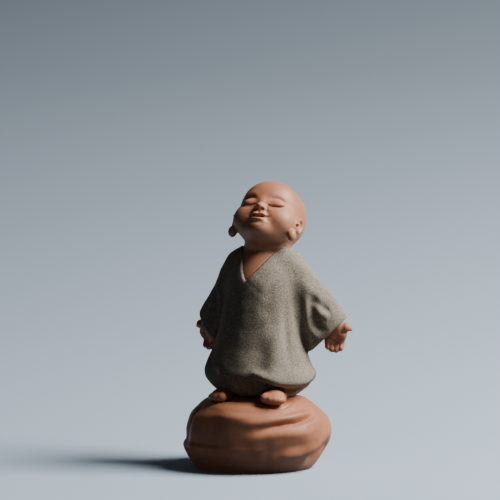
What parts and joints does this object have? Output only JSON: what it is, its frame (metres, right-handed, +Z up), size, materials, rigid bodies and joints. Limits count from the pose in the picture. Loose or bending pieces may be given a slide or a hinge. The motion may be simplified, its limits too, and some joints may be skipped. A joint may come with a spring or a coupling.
{
  "type": "baby monk statue",
  "caption": "Small fired-clay ornament: a bald baby monk in a wide-sleeved robe stands on a smooth boulder, head tilted back, eyes closed, arms held out, palms forward",
  "frame": {"origin": "middle of the boulder's flat underside", "axes": "+Z up, through the figure; the monk faces -Y and its left hand is towards +X"},
  "size_m": [0.0857, 0.0663, 0.1426],
  "materials": {
    "red_clay": "unglazed red-brown stoneware clay, fine and smooth, with a dull burnished sheen",
    "grey_sand_clay": "unglazed grey-brown clay tempered with coarse light and dark sand, matt and gritty"
  },
  "bodies": {
    "root": {"rock_base": "red_clay", "left_foot": "red_clay", "right_foot": "red_clay", "robe": "grey_sand_clay", "left_hand": "red_clay", "right_hand": "red_clay", "head": "red_clay"}
  },
  "joints": []
}
